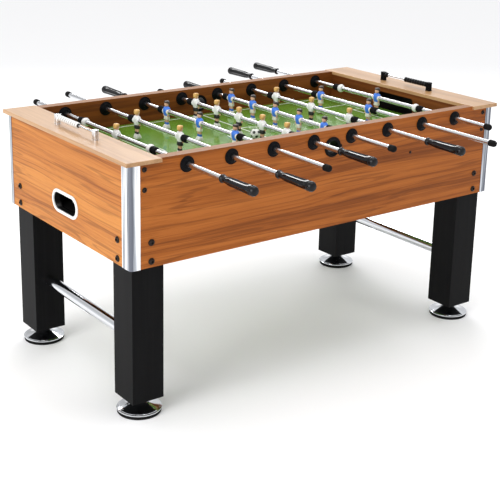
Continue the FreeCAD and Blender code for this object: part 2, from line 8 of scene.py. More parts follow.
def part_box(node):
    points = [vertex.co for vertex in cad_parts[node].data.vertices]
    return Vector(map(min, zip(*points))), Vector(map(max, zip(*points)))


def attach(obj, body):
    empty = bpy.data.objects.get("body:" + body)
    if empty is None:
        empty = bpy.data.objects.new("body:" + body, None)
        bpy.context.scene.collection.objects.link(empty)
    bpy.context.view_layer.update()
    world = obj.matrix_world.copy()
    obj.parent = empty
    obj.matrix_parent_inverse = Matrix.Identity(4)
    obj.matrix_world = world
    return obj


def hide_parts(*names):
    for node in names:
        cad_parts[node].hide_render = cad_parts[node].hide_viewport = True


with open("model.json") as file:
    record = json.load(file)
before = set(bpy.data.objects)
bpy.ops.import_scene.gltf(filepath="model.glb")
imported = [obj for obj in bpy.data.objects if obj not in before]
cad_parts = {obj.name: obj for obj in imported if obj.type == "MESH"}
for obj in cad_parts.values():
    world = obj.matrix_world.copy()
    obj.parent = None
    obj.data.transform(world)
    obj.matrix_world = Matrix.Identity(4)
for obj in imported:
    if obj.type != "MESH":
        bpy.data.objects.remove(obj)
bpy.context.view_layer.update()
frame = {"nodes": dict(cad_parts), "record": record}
mm = 0.001
rodNumbers = range(1, 9)
goalkeeperRods = (1, 8)
print("frame loaded:", len(frame["nodes"]), "pieces")

# Wire is a socket that takes operators, Board the material it belongs to


class Wire:
    def __init__(self, board, socket):
        self.board, self.socket = board, socket

    def __add__(self, other):
        return self.board.maths("ADD", self, other)

    def __radd__(self, other):
        return self.board.maths("ADD", other, self)

    def __sub__(self, other):
        return self.board.maths("SUBTRACT", self, other)

    def __rsub__(self, other):
        return self.board.maths("SUBTRACT", other, self)

    def __mul__(self, other):
        return self.board.maths("MULTIPLY", self, other)

    def __rmul__(self, other):
        return self.board.maths("MULTIPLY", other, self)

    def __gt__(self, other):
        return self.board.maths("GREATER_THAN", self, other)

    def __lt__(self, other):
        return self.board.maths("LESS_THAN", self, other)

    def __abs__(self):
        return self.board.maths("ABSOLUTE", self)


class Board:
    def __init__(self, name, kind="materials"):
        self.material = getattr(bpy.data, kind).new(name)
        self.material.use_nodes = True
        self.tree = self.material.node_tree
        self.tree.nodes.clear()
        sky = kind == "worlds"
        self.shader = self.tree.nodes.new("ShaderNodeBackground" if sky else "ShaderNodeBsdfPrincipled")
        output = self.tree.nodes.new("ShaderNodeOutputWorld" if sky else "ShaderNodeOutputMaterial")
        self.tree.links.new(self.shader.outputs[0], output.inputs["Surface"])
        self.place = self.node("ShaderNodeTexCoord", out="Generated" if sky else "Object")
        parts = self.tree.nodes.new("ShaderNodeSeparateXYZ")
        self.put(parts.inputs[0], self.place)
        self.x, self.y, self.z = (Wire(self, socket) for socket in parts.outputs)

    def put(self, socket, value):
        if isinstance(value, Wire):
            self.tree.links.new(value.socket, socket)
        elif isinstance(value, tuple) and len(value) == 3 and socket.type == "RGBA":
            socket.default_value = (*value, 1.0)
        else:
            socket.default_value = value

    def node(self, kind, settings=None, inputs=None, out=0):
        made = self.tree.nodes.new(kind)
        for key, value in (settings or {}).items():
            if key == "stops":
                ramp = made.color_ramp
                while len(ramp.elements) < len(value):
                    ramp.elements.new(1.0)
                for element, (place, colour) in zip(ramp.elements, value):
                    element.position, element.color = place, (*colour, 1.0)
            else:
                setattr(made, key, value)
        for key, value in (inputs or {}).items():
            self.put(made.inputs[key], value)
        return Wire(self, made.outputs[out])

    def maths(self, operation, *values):
        return self.node("ShaderNodeMath", {"operation": operation}, dict(enumerate(values)))

    def step(self, value, low, high):  # 0 below low, 1 above high, smooth between
        inputs = {"Value": value, "From Min": low, "From Max": high}
        return self.node("ShaderNodeMapRange", {"interpolation_type": "SMOOTHSTEP"}, inputs)

    def mix(self, first, second, share):
        return self.node("ShaderNodeMix", {"data_type": "RGBA"}, {0: share, 6: first, 7: second}, out=2)

    def stretched(self, x, y, z, where=None):  # repeats to the metre along each axis
        return self.node("ShaderNodeMapping", None, {"Vector": where or self.place, "Scale": (x, y, z)})

    def noise(self, where, scale=1.0, detail=3.0, rough=0.5, swirl=0.0):
        inputs = {"Vector": where, "Scale": scale, "Detail": detail, "Roughness": rough, "Distortion": swirl}
        return self.node("ShaderNodeTexNoise", None, inputs, out="Fac")

    def ramp(self, value, stops):
        return self.node("ShaderNodeValToRGB", {"stops": stops}, {"Fac": value}, out="Color")

    def bump(self, height, depth, strength=1.0):  # depth in metres
        inputs = {"Height": height, "Distance": depth, "Strength": strength}
        return self.node("ShaderNodeBump", None, inputs)

    def done(self, **sockets):
        for key, value in sockets.items():
            self.put(self.shader.inputs[key.replace("_", " ")], value)
        return self.material


paintBlack = (0.006, 0.006, 0.006)


def laminate(name, look):
    board = Board(name)
    along, wide, fine = look["along"], look["wide"], look["fine"]

    def grain(length, across, where=None):  # long along the grain, close across it
        return board.stretched(*(length if axis == along else across for axis in "xyz"), where)

    drift = (board.noise(grain(1.1, 3.0), 1.0, 2.0) - 0.5) * look["drift"]  # the grain wanders
    sockets = {"x": board.x, "y": board.y, "z": board.z}
    moved = {i: sockets[axis] if axis == along else sockets[axis] + drift for i, axis in enumerate("xyz")}
    warped = board.node("ShaderNodeCombineXYZ", None, moved)
    figure = board.noise(grain(look["length"], wide, warped), 1.0, 3.0, 0.5, 0.3)
    streaks = board.noise(grain(look["length"] * 1.7, wide * 4.5, warped), 1.0, 4.0, 0.6)
    fibres = board.noise(grain(look["length"] * 5, fine, warped), 1.0, 3.0, 0.6)
    tone = figure * 0.4 + streaks * 0.4 + fibres * 0.2
    colour = board.ramp(tone, ((0.40, look["dark"]), (0.485, look["middle"]), (0.58, look["light"])))
    lines = board.step(board.maths("SINE", figure * 60.0 + streaks * 4.0), 0.62, 1.0)
    pores = board.step(board.noise(grain(look["length"] * 12, fine * 1.4, warped), 1.0, 2.0), 0.58, 0.72)
    colour = board.mix(colour, look["pore"], lines * look["lines"] + pores * look["pores"])
    if look.get("edge"):  # pale band on the upper edge, shaded face inside
        facing = board.node("ShaderNodeNewGeometry", out="Normal")
        up = board.node("ShaderNodeSeparateXYZ", None, {0: facing}, out="Z")
        # painted shade: within insideUpTo of the middle, the inner face takes in the dark inside colour
        outer = board.step(abs(board.y), look["insideUpTo"], look["insideUpTo"] + 0.0006)
        colour = board.mix(look["inside"], colour, outer * 0.55 + 0.45)
        colour = board.mix(colour, look["edge"], (up > 0.9) * (board.z > look["edgeAbove"]))
    if look.get("blackInside"):  # unseen inner face, painted black
        colour = board.mix(paintBlack, colour, abs(board.x) > look["blackInside"])
    return board.done(
        Base_Color=colour,
        Roughness=look["rough"] + streaks * 0.12,
        Normal=board.bump(fibres * 0.6 + pores * -0.8, 0.0001, 0.4),
        Specular_IOR_Level=look["shine"],
        Coat_Weight=look["coat"],
        Coat_Roughness=0.15,
    )


cherry = {
    "light": (0.44, 0.134, 0.023), "middle": (0.345, 0.097, 0.014), "dark": (0.21, 0.054, 0.007),
    "pore": (0.10, 0.024, 0.004), "along": "x", "length": 0.42, "wide": 15.0, "fine": 420.0, "drift": 0.045,
    "lines": 0.36, "pores": 0.3, "rough": 0.38, "shine": 0.14, "coat": 0.02,
}
# darker copy of the same cherry: painted shade on the goal walls
cherryShade = {
    **cherry, "light": (0.21, 0.066, 0.014), "middle": (0.16, 0.046, 0.009), "dark": (0.10, 0.027, 0.005),
}
# lighter copy of the same cherry: painted light on the end panels
cherryLitEnd = {
    **cherry, "light": (0.57, 0.225, 0.048), "middle": (0.48, 0.170, 0.033), "dark": (0.33, 0.100, 0.017),
}
pale = {
    "light": (0.50, 0.292, 0.14), "middle": (0.44, 0.246, 0.108), "dark": (0.34, 0.178, 0.071),
    "pore": (0.26, 0.13, 0.065), "along": "y", "length": 0.9, "wide": 16.0, "fine": 460.0, "drift": 0.05,
    "lines": 0.12, "pores": 0.14, "rough": 0.24, "shine": 0.45, "coat": 0.15,
}
ebony = {
    "light": (0.0058, 0.0058, 0.0062), "middle": (0.0044, 0.0044, 0.0048), "dark": (0.0034, 0.0034, 0.0038),
    "pore": (0.002, 0.002, 0.002), "along": "z", "length": 1.4, "wide": 30.0, "fine": 600.0, "drift": 0.03,
    "lines": 0.2, "pores": 0.3, "rough": 0.4, "shine": 0.07, "coat": 0.0,
}
spruce = {
    "light": (0.62, 0.44, 0.25), "middle": (0.55, 0.37, 0.2), "dark": (0.43, 0.27, 0.13),
    "pore": (0.3, 0.17, 0.08), "along": "x", "length": 1.0, "wide": 26.0, "fine": 380.0, "drift": 0.04,
    "lines": 0.4, "pores": 0.2, "rough": 0.6, "shine": 0.3, "coat": 0.0,
}
# inside: dark colour for the inner faces of the side walls, painted shade
railEdge = {
    "edge": (0.27, 0.125, 0.055), "edgeAbove": 0.8035, "inside": (0.06, 0.018, 0.005), "insideUpTo": 0.3600,
}


def metal(name, colour, rough, scratch):
    board = Board(name)
    cloud = board.noise(board.place, 14.0, 3.0)
    hair = board.noise(board.stretched(700.0, 90.0, 700.0), 1.0, 2.0)
    return board.done(
        Base_Color=board.mix(colour, tuple(c * 0.86 for c in colour), cloud),
        Metallic=1.0,
        Roughness=rough + cloud * 0.07 + board.step(hair, 0.62, 0.8) * scratch,
        Normal=board.bump(hair, 0.00002, 0.25),
    )


def guardMetal():  # rolled trim: bright, with painted reflections as long soft dark and light streaks up its height
    board = Board("rolledTrim")
    streaks = board.noise(board.stretched(55.0, 55.0, 1.2), 1.0, 4.0, 0.6, 0.4)
    hair = board.noise(board.stretched(900.0, 900.0, 30.0), 1.0, 2.0)
    # the ramp runs from dark to near white: painted reflections
    stops = ((0.4, (0.15, 0.16, 0.19)), (0.49, (0.52, 0.55, 0.59)), (0.56, (0.93, 0.94, 0.96)))
    return board.done(
        Base_Color=board.ramp(streaks, stops),
        Metallic=1.0,
        Roughness=0.1 + streaks * 0.08,
        Normal=board.bump(hair, 0.00002, 0.3),
    )


def moulded(name, colour, rough, texture=0.00004, coat=0.0, second=None, shine=0.5):
    board = Board(name)
    cloud = board.noise(board.place, 60.0, 3.0)
    pits = board.noise(board.place, 2200.0, 2.0)
    shaded = second or tuple(c * 0.82 for c in colour)
    return board.done(
        Base_Color=board.mix(colour, shaded, board.step(cloud, 0.3, 0.75)),
        Roughness=rough + cloud * 0.1,
        Normal=board.bump(pits, texture, 0.5),
        Specular_IOR_Level=shine,
        Coat_Weight=coat,
        Coat_Roughness=0.08,
    )


def rubber(name, colour):
    board = Board(name)
    dust = board.step(board.noise(board.place, 45.0, 5.0, 0.65), 0.45, 0.8)
    pits = board.noise(board.place, 1500.0, 3.0)
    worn = tuple(c * 2.2 + 0.004 for c in colour)
    return board.done(
        Base_Color=board.mix(colour, worn, dust),
        Roughness=0.62 + dust * 0.15,
        Normal=board.bump(pits, 0.00008, 0.6),
        Specular_IOR_Level=0.08,
    )


fieldLook = {
    "grass": (0.105, 0.250, 0.022), "stripe": (0.135, 0.295, 0.032), "chalk": (0.80, 0.84, 0.76),
    "mow": 0.1586, "line": 0.0028, "halfLong": 0.622, "halfWide": 0.337, "circle": 0.105,
    "boxDeep": 0.185, "boxWide": 0.20, "smallDeep": 0.075, "smallWide": 0.118, "spot": 0.008, "penalty": 0.06,
}


def playingSurface():
    board, look = Board("printedField"), fieldLook
    along, across = abs(board.x), abs(board.y)

    def chalk(distance):  # a line where the distance is nearly nothing
        return 1.0 - board.step(abs(distance), look["line"], look["line"] + 0.0007)

    def outline(deep, wide):
        near = board.maths("MAXIMUM", look["halfLong"] - deep - along, across - wide)
        return chalk(near) * (along < look["halfLong"])

    fromMiddle = board.maths("SQRT", board.x * board.x + board.y * board.y)
    boxLine = look["halfLong"] - look["boxDeep"]
    spot = along - (boxLine + look["penalty"])
    fromBox = board.maths("SQRT", spot * spot + board.y * board.y)
    marks = [
        chalk(board.maths("MAXIMUM", along - look["halfLong"], across - look["halfWide"])),
        chalk(board.x) * (across < look["halfWide"]),
        chalk(fromMiddle - look["circle"]),
        fromMiddle < look["spot"],
        outline(look["boxDeep"], look["boxWide"]),
        outline(look["smallDeep"], look["smallWide"]),
        chalk(fromBox - look["circle"]) * (along < boxLine),
    ]
    chalked = marks[0]
    for mark in marks[1:]:  # where any mark lies
        chalked = board.maths("MAXIMUM", chalked, mark)
    mown = board.step(board.maths("SINE", board.x * (math.pi / look["mow"])), -0.15, 0.15)
    blades = board.noise(board.place, 900.0, 3.0)
    patches = board.noise(board.place, 16.0, 3.0)
    grass = board.mix(look["grass"], look["stripe"], mown * 0.6 + patches * 0.4)
    grass = board.mix(grass, tuple(c * 0.6 for c in look["grass"]), board.step(blades, 0.5, 0.7) * 0.3)
    return board.done(
        Base_Color=board.mix(grass, look["chalk"], chalked),
        Roughness=0.16 + blades * 0.08,
        Normal=board.bump(blades, 0.00003, 0.2),
        Specular_IOR_Level=0.45,
        Coat_Weight=0.3,
        Coat_Roughness=0.03,
    )


finishes = {
    "sideWall": laminate("cherrySideWall", {**cherry, **railEdge}),
    "endPanel": laminate("cherryEndPanel", {**cherryLitEnd, "along": "y", "blackInside": 0.7285}),
    "goalWall": laminate("cherryGoalWall", {**cherryShade, "along": "y"}),
    "topBoard": laminate("paleTopBoard", pale),
    "leg": laminate("ebonyLeg", ebony),
    "frameWood": laminate("spruceFrame", spruce),
    "field": playingSurface(),
    "chrome": metal("polishedChrome", (0.78, 0.80, 0.83), 0.07, 0.05),
    "guard": guardMetal(),
    "rodSteel": metal("polishedRod", (0.70, 0.71, 0.73), 0.19, 0.06),
    "boltMetal": metal("blackenedBolt", (0.035, 0.028, 0.025), 0.3, 0.08),
    "blackPlastic": moulded("blackMoulding", (0.004, 0.004, 0.005), 0.3, shine=0.07),
    "gripBlack": moulded("blackGrip", (0.004, 0.004, 0.005), 0.1, 0.00001, shine=0.24),
    "capRubber": rubber("capRubber", (0.005, 0.005, 0.005)),
    "bumperRubber": rubber("bumperRubber", (0.005, 0.005, 0.006)),
    "footRubber": rubber("footRubber", (0.007, 0.007, 0.007)),
    "whitePlastic": moulded("whiteMoulding", (0.83, 0.83, 0.81), 0.28, 0.00003, 0.2),
    "chuteBlack": moulded("blackTrough", (0.005, 0.005, 0.005), 0.5, shine=0.15),
    "ballWhite": moulded("ballWhite", (0.84, 0.84, 0.80), 0.3, 0.00005, 0.2),
    "ballBlack": moulded("ballBlack", (0.012, 0.012, 0.012), 0.3, 0.00005, 0.2),
    "skin": moulded("paintedSkin", (0.74, 0.43, 0.28), 0.38),
    "eyes": moulded("paintedEyes", (0.02, 0.014, 0.01), 0.3),
    "boots": moulded("paintedBoots", (0.80, 0.79, 0.75), 0.32),
    "fairHair": moulded("fairHair", (0.70, 0.42, 0.13), 0.45, 0.00012, 0.0, (0.50, 0.27, 0.07)),
    "darkHair": moulded("darkHair", (0.035, 0.022, 0.017), 0.4, 0.00012),
    "whiteShirt": moulded("whiteShirt", (0.84, 0.84, 0.83), 0.34),
    "blueShirt": moulded("blueShirt", (0.045, 0.19, 0.74), 0.3),
    "creamSleeve": moulded("creamSleeve", (0.80, 0.74, 0.62), 0.36),
    "blackCloth": moulded("blackShorts", (0.014, 0.014, 0.016), 0.4),
    "creamCloth": moulded("creamShorts", (0.80, 0.77, 0.68), 0.38),
    "blueCloth": moulded("blueSocks", (0.035, 0.16, 0.66), 0.38),
}


throatBlack = (0.008, 0.008, 0.008)
rimFrom = 0.7463  # metres out from the table's middle


def returnRim():  # white rim, black throat
    board = Board("returnRim")
    grit = board.noise(board.place, 1800.0, 2.0)
    white = board.mix((0.84, 0.84, 0.82), (0.74, 0.74, 0.72), board.noise(board.place, 30.0))
    return board.done(
        Base_Color=board.mix(throatBlack, white, abs(board.x) > rimFrom),
        Roughness=0.26 + grit * 0.1,
        Normal=board.bump(grit, 0.00003, 0.4),
        Coat_Weight=0.2,
    )


beadShadeRadii = {"across": 0.703, "up": 0.838, "hub": 0.0062, "disc": 0.0068}  # the wire's place, and two radii for painted shade: dark inside the first, white beyond the second


def beadPlastic():  # white discs, with painted shade darkening the hubs between them
    board = Board("whiteBead")
    across, up = abs(board.x) - beadShadeRadii["across"], board.z - beadShadeRadii["up"]
    reach = board.maths("SQRT", across * across + up * up)
    grit = board.noise(board.place, 1500.0, 2.0)
    white = board.mix((0.84, 0.84, 0.82), (0.72, 0.72, 0.70), grit)
    return board.done(
        Base_Color=board.mix(throatBlack, white, board.step(reach, beadShadeRadii["hub"], beadShadeRadii["disc"])),
        Roughness=0.26 + grit * 0.1,
        Normal=board.bump(grit, 0.00003, 0.4),
    )


finishes["returnRim"] = returnRim()
finishes["bead"] = beadPlastic()
cadFinish = {
    "side_wall_near": "sideWall", "side_wall_far": "sideWall", "end_panel_left": "endPanel",
    "end_panel_right": "endPanel", "goal_walls": "goalWall", "top_boards": "topBoard",
    "playfield": "field", "inner_frame": "frameWood", "corner_guards": "guard", "legs": "leg",
    "cross_bars": "chrome", "serve_cups": "blackPlastic", "return_cups": "returnRim",
    "ball_chutes": "chuteBlack",
}
for node, finish in cadFinish.items():
    for slot in frame["nodes"][node].material_slots:
        slot.material = finishes[finish]
for number in rodNumbers:
    for slot in frame["nodes"]["rod_%d_tube" % number].material_slots:
        slot.material = finishes["rodSteel"]
print("finishes made:", len(finishes))

# shapes are rings turned round an axis or sections lofted up a body, in millimetres


def lathe(bm, outline, segments=48, material=0, at=(0, 0, 0), closed=False, radiusAt=None):
    rings = []
    for r, h in outline:
        if r < 1e-6:
            rings.append([bm.verts.new(Vector(at) * mm + Vector((0, 0, h * mm)))])
            continue
        ring = []
        for i in range(segments):
            angle = 2 * math.pi * i / segments
            reach = radiusAt(r, h, angle) if radiusAt else r
            point = Vector((reach * math.cos(angle), reach * math.sin(angle), h))
            ring.append(bm.verts.new((Vector(at) + point) * mm))
        rings.append(ring)
    pairs = list(zip(rings, rings[1:])) + ([(rings[-1], rings[0])] if closed else [])
    skinBetween(bm, pairs, segments, material)
    return rings


def skinBetween(bm, pairs, segments, material):
    for low, high in pairs:
        for i in range(segments):
            j = (i + 1) % segments
            corners = [low[i % len(low)], low[j % len(low)], high[j % len(high)], high[i % len(high)]]
            corners = list(dict.fromkeys(corners))
            if len(corners) > 2:
                bm.faces.new(corners).material_index = material


def loft(bm, sections, material, segments=24, along="z"):
    # each section: height, half depth (x), half width (y), shift x, shift y, squareness
    rings = []
    for height, deep, wide, shiftX, shiftY, square in sections:
        ring = []
        for i in range(segments):
            angle = 2 * math.pi * i / segments
            c, s = math.cos(angle), math.sin(angle)
            x = shiftX + deep * math.copysign(abs(c) ** (2 / square), c)
            y = shiftY + wide * math.copysign(abs(s) ** (2 / square), s)
            point = (x, y, height) if along == "z" else (x, height, y)
            ring.append(bm.verts.new(Vector(point) * mm))
        rings.append(ring)
    for end in (rings[0], rings[-1]):
        middle = sum((v.co for v in end), Vector()) / segments
        hub = bm.verts.new(middle)
        for i in range(segments):
            bm.faces.new((end[i], end[(i + 1) % segments], hub)).material_index = material
    skinBetween(bm, list(zip(rings, rings[1:])), segments, material)


def asMesh(name, bm, materials, sharp):
    bmesh.ops.remove_doubles(bm, verts=bm.verts, dist=1e-7)
    bmesh.ops.recalc_face_normals(bm, faces=bm.faces)
    mesh = bpy.data.meshes.new(name)
    bm.to_mesh(mesh)
    bm.free()
    for material in materials:
        mesh.materials.append(finishes[material] if isinstance(material, str) else material)
    mesh.shade_smooth()
    mesh.set_sharp_from_angle(angle=math.radians(sharp))
    return mesh


def asObject(name, data):
    made = bpy.data.objects.new(name, data)
    bpy.context.scene.collection.objects.link(made)
    return made


def asPiece(name, bm, materials, sharp=38.0):
    return asObject(name, asMesh(name, bm, materials, sharp))


def lay(bm, rings, place, degrees):  # turns rings about X and moves them to their place
    verts = [v for ring in rings for v in ring]
    move = Matrix.Translation(place) @ Matrix.Rotation(math.radians(degrees), 4, "X")
    bmesh.ops.transform(bm, matrix=move, verts=verts)


def sixSided(angle):  # how far a hexagon reaches at an angle, for flats at 1
    step = math.pi / 3
    return 1 / math.cos(angle % step - step / 2)


def farFace(low, high):
    return Vector(((low.x + high.x) / 2, high.y, (low.z + high.z) / 2))


def settle(piece, body, slot, *replaced):
    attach(piece, body)
    if replaced:
        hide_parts(*replaced)


def solidsOf(node):  # the low and high corners of each loose solid in a CAD piece
    bm = bmesh.new()
    bm.from_mesh(frame["nodes"][node].data)
    bmesh.ops.remove_doubles(bm, verts=bm.verts, dist=1e-6)
    seen, boxes = set(), []
    for vert in bm.verts:
        if vert in seen:
            continue
        heap, island = [vert], []
        seen.add(vert)
        while heap:
            here = heap.pop()
            island.append(here.co.copy())
            for edge in here.link_edges:
                other = edge.other_vert(here)
                if other not in seen:
                    seen.add(other)
                    heap.append(other)
        low = Vector([min(p[k] for p in island) for k in range(3)])
        high = Vector([max(p[k] for p in island) for k in range(3)])
        boxes.append((low, high))
    bm.free()
    return boxes


# copies on points: one tree for single-finish pieces, one that dresses the men


class Tree:
    def __init__(self, name, inputs):
        self.group = bpy.data.node_groups.new(name, "GeometryNodeTree")
        self.group.is_modifier = True
        self.keys = {}
        for label, kind in (("Geometry", "NodeSocketGeometry"),) + inputs:
            socket = self.group.interface.new_socket(label, in_out="INPUT", socket_type=kind)
            self.keys[label] = socket.identifier
        self.group.interface.new_socket("Geometry", in_out="OUTPUT", socket_type="NodeSocketGeometry")
        self.start = self.group.nodes.new("NodeGroupInput")

    def node(self, kind, settings=None, inputs=None):
        made = self.group.nodes.new(kind)
        for key, value in (settings or {}).items():
            setattr(made, key, value)
        for key, value in (inputs or {}).items():
            if isinstance(value, bpy.types.NodeSocket):
                self.group.links.new(value, made.inputs[key])
            else:
                made.inputs[key].default_value = value
        return made.outputs

    def copies(self):  # the source piece on every point, turned and sized as the point says
        asked = {"Object": self.start.outputs["Source"], "As Instance": True}
        source = self.node("GeometryNodeObjectInfo", None, asked)
        turn = self.node("GeometryNodeInputNamedAttribute", {"data_type": "FLOAT_VECTOR"}, {"Name": "turn"})
        size = self.node("GeometryNodeInputNamedAttribute", {"data_type": "FLOAT"}, {"Name": "size"})
        euler = self.node("FunctionNodeEulerToRotation", None, {0: turn["Attribute"]})
        placed = self.node("GeometryNodeInstanceOnPoints", None, {
            "Points": self.start.outputs["Geometry"], "Instance": source["Geometry"],
            "Rotation": euler[0], "Scale": size["Attribute"],
        })
        return self.node("GeometryNodeRealizeInstances", None, {"Geometry": placed[0]})[0]

    def close(self, geometry):
        end = self.group.nodes.new("NodeGroupOutput")
        self.group.links.new(geometry, end.inputs[0])


def copiesTree():
    tree = Tree("copiesOnPoints", (("Source", "NodeSocketObject"), ("Finish", "NodeSocketMaterial")))
    dressed = tree.node("GeometryNodeSetMaterial", None, {
        "Geometry": tree.copies(), "Material": tree.start.outputs["Finish"],
    })
    tree.close(dressed[0])
    return tree


manParts = ("Shirt", "Sleeves", "Shorts", "Socks", "Hair", "Skin", "Boots", "Eyes")
manBlanks = {part: bpy.data.materials.new("blank" + part) for part in manParts}


def teamTree():
    kinds = tuple((part, "NodeSocketMaterial") for part in manParts)
    tree = Tree("menOnRod", (("Source", "NodeSocketObject"),) + kinds)
    geometry = tree.copies()
    for part in manParts:
        chosen = tree.node("GeometryNodeMaterialSelection", None, {"Material": manBlanks[part]})
        geometry = tree.node("GeometryNodeSetMaterial", None, {
            "Geometry": geometry, "Selection": chosen[0], "Material": tree.start.outputs[part],
        })[0]
    tree.close(geometry)
    return tree


plainCopies, teamCopies = copiesTree(), teamTree()


def copied(name, tree, source, spots, **inputs):
    # spots: (place in metres, turn in degrees, size)
    mesh = bpy.data.meshes.new(name + "Spots")
    mesh.from_pydata([place for place, _, _ in spots], [], [])
    mesh.attributes.new("turn", "FLOAT_VECTOR", "POINT")
    mesh.attributes.new("size", "FLOAT", "POINT")
    turns = [math.radians(d) for _, degrees, _ in spots for d in degrees]
    mesh.attributes["turn"].data.foreach_set("vector", turns)
    mesh.attributes["size"].data.foreach_set("value", [scale for _, _, scale in spots])
    holder = asObject(name + "Spots", mesh)
    modifier = holder.modifiers.new("copies", "NODES")
    modifier.node_group = tree.group
    modifier[tree.keys["Source"]] = source
    for label, value in inputs.items():
        modifier[tree.keys[label]] = value
    settled = holder.evaluated_get(bpy.context.evaluated_depsgraph_get())
    made = bpy.data.meshes.new_from_object(settled)
    made.name = name
    worn = [face.material_index for face in made.polygons]
    kept = sorted(set(worn))  # slots that no face wears are dropped
    fabrics = [made.materials[i] for i in kept]
    made.materials.clear()
    for fabric in fabrics:
        made.materials.append(fabric)
    made.polygons.foreach_set("material_index", [kept.index(i) for i in worn])
    bpy.data.objects.remove(holder)
    return asObject(name, made)


outwards = {-1: (90, 0, 0), 1: (-90, 0, 0)}  # turns +Z to the near side or the far side

# bearings: a stepped flange outside, a notched nut inside
bearingLook = {
    "bore": 8.0, "flange": 24.5, "hub": 14.0, "sleeve": 12.0, "proud": 8.0, "wall": 36.0,
    "notches": 6, "notchAt": (20.6, 0, 3.6), "notchSize": (3.4, 2.6, 2.2),
}


def bearingSource(inner):
    look, bm = bearingLook, bmesh.new()
    r = look["flange"]
    bore, hub, sleeve, proud, wall = (look[key] for key in ("bore", "hub", "sleeve", "proud", "wall"))
    face = [
        (r - 0.8, 0), (r, 0.7), (r, 2.0), (r - 0.9, 3.0), (r - 2.6, 3.2), (r - 3.0, 2.7), (r - 4.2, 2.7),
        (r - 4.6, 3.3), (19.0, 3.8), (17.2, 5.0), (16.2, 5.4), (15.6, 6.8), (hub - 0.4, 7.7),
        (hub - 1.6, proud), (11.2, proud), (10.8, 7.3), (9.0, 7.3), (8.6, proud), (bore, proud),
    ]
    back = [(bore, 0)] if inner else [(bore, -wall), (sleeve, -wall), (sleeve, 0)]
    lathe(bm, back + face, 48, closed=True)
    if inner:  # spanner notches round the nut
        for i in range(look["notches"]):
            block = bmesh.ops.create_cube(bm, size=1.0)["verts"]
            angle = 2 * math.pi * i / look["notches"]
            spot = Matrix.Translation(Vector(look["notchAt"]) * mm)
            spot = spot @ Matrix.Diagonal((*(Vector(look["notchSize"]) * mm), 1))
            bmesh.ops.transform(bm, matrix=Matrix.Rotation(angle, 4, "Z") @ spot, verts=block)
    return asPiece("bearingSource", bm, ["blackPlastic"])


bearingParts = {"outer": [], "inner": []}
wallFace = max(high.y for low, high in solidsOf("bearings")) - bearingLook["proud"] * mm
for low, high in solidsOf("bearings"):
    middle = (low + high) / 2
    side = 1 if middle.y > 0 else -1
    inside = side * (wallFace - bearingLook["wall"] * mm)
    bearingParts["outer"].append((Vector((middle.x, side * wallFace, middle.z)), outwards[side], 1.0))
    bearingParts["inner"].append((Vector((middle.x, inside, middle.z)), outwards[-side], 1.0))
for kind, spots in bearingParts.items():
    source = bearingSource(kind == "inner")
    piece = copied("bearing_" + kind, plainCopies, source, spots, Finish=finishes["blackPlastic"])
    settle(piece, "table", "black_plastic", *(["bearings"] if kind == "outer" else []))
    bpy.data.objects.remove(source)
print("bearings:", {kind: len(spots) for kind, spots in bearingParts.items()})

# bolts: domed heads with a hexagon socket
boltLook = {"socket": 0.42, "deep": 0.32, "tall": 0.56, "lip": 0.1}  # shares of the head's radius
headTall = {8: 5.0, 10: 6.0, 5: 2.5}  # by whole millimetres of radius


def boltSource():
    look, bm = boltLook, bmesh.new()
    k, socket, lip, tall = 1 / mm, look["socket"], look["lip"], look["tall"]

    def hexed(r, h, angle):  # rounds the socket's ring to a hexagon
        if r > socket + 1e-6 or h < 0.05:
            return r
        return r * math.cos(math.pi / 6) * sixSided(angle)

    outline = [(0, -3.0), (0.36, -3.0), (0.36, -0.02), (0.96, -0.02), (1.0, lip)]
    outline += [(math.cos(a), lip + (tall - lip) * math.sin(a)) for a in (0.35, 0.7, 1.0)]
    outline += [(socket + 0.08, tall), (socket, tall - 0.05), (socket, tall - look["deep"]),
                (0, tall - look["deep"] - 0.08)]
    lathe(bm, [(r * k, h * k) for r, h in outline], 36, radiusAt=lambda r, h, a: hexed(r / k, h / k, a) * k)
    return asPiece("boltSource", bm, ["boltMetal"], 30)


boltSpots = []
for low, high in solidsOf("bolts"):
    middle, span = (low + high) / 2, high - low
    axis = 0 if span.x > span.y else 1
    side = 1 if middle[axis] > 0 else -1
    radius = (span[1 - axis] + span.z) / 4
    place = middle.copy()
    tall = headTall[int(radius / mm + 0.1)]
    place[axis] = (high if side > 0 else low)[axis] - side * tall * mm
    turn = outwards[side] if axis == 1 else (0, 90 * side, 0)
    boltSpots.append((place, turn, radius))
source = boltSource()
piece = copied("bolt_heads", plainCopies, source, boltSpots, Finish=finishes["boltMetal"])
settle(piece, "table", "chrome_trim", "bolts")
bpy.data.objects.remove(source)
print("bolts:", len(boltSpots))

# men: one moulded figure, copied along each rod and dressed for its team
manLook = {
    "bore": 7.97, "shoulder": 17.0, "barrel": 10.6, "head": 27.0, "crown": 10.3, "locks": 11, "ripple": 0.035,
}


